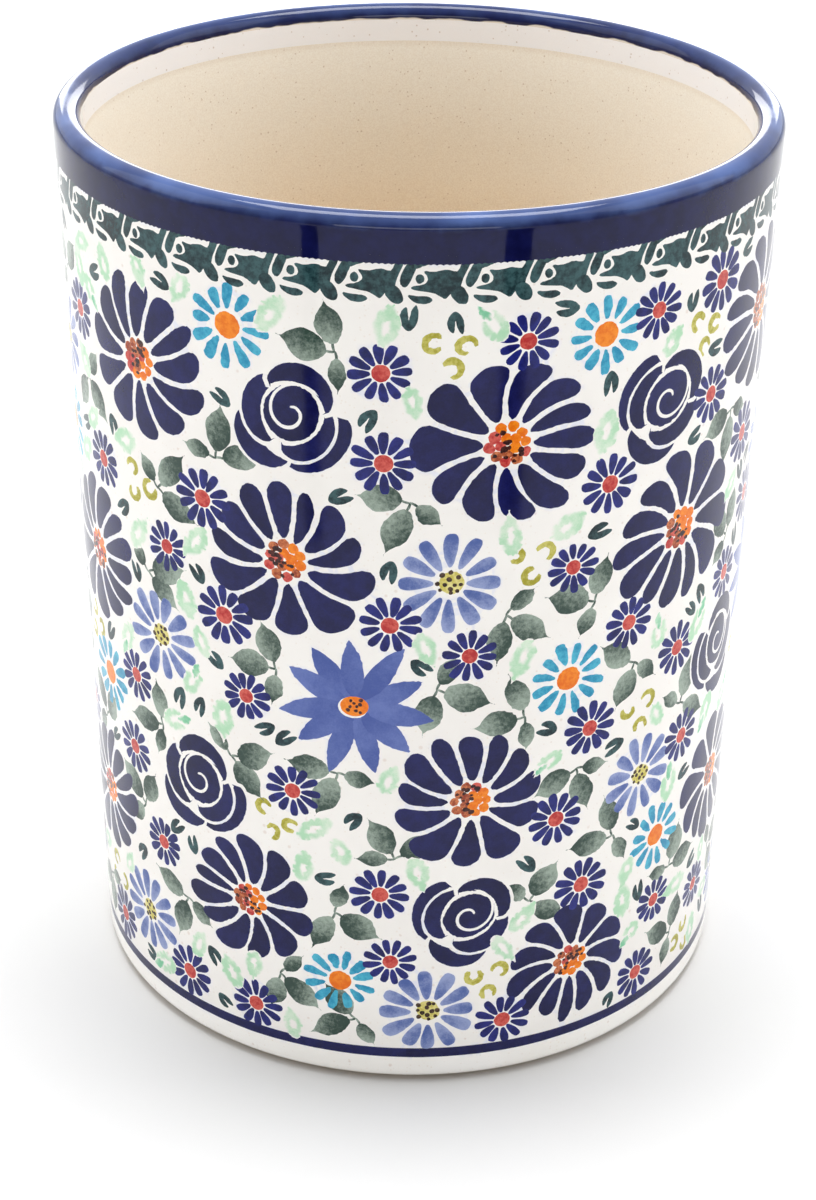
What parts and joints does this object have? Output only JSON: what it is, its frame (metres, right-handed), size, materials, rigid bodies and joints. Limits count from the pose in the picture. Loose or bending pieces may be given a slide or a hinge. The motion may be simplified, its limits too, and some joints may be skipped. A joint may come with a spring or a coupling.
{
  "type": "painted stoneware jar",
  "caption": "Straight-sided stoneware jar without handles, slightly tapered, with a round cobalt lip, a hand-painted floral coat and a bare clay foot ring.",
  "frame": {"origin": "centre of the foot ring on the resting plane", "axes": "+Z is the jar's axis of revolution and points up; X and Y are level"},
  "size_m": [0.135, 0.135, 0.178],
  "materials": {
    "fired_clay": "matte, bare, fine-grained",
    "cobalt_glaze": "deep glossy cobalt",
    "painted_glaze": "glossy, underglaze painted, finely speckled",
    "cream_glaze": "glossy, finely speckled",
    "inner_glaze": "glossy, tan, speckled"
  },
  "bodies": {
    "root": {"clay_wall": "fired_clay", "clay_floor": "fired_clay", "foot_ring": "fired_clay", "cobalt_rim_glaze": "cobalt_glaze", "leaf_border_glaze": "painted_glaze", "floral_glaze": "painted_glaze", "cobalt_foot_line": "cobalt_glaze", "foot_band_glaze": "cream_glaze", "inner_collar_glaze": "cream_glaze", "inner_wall_glaze": "inner_glaze", "inner_floor_glaze": "inner_glaze", "underside_glaze": "cream_glaze"}
  },
  "joints": []
}
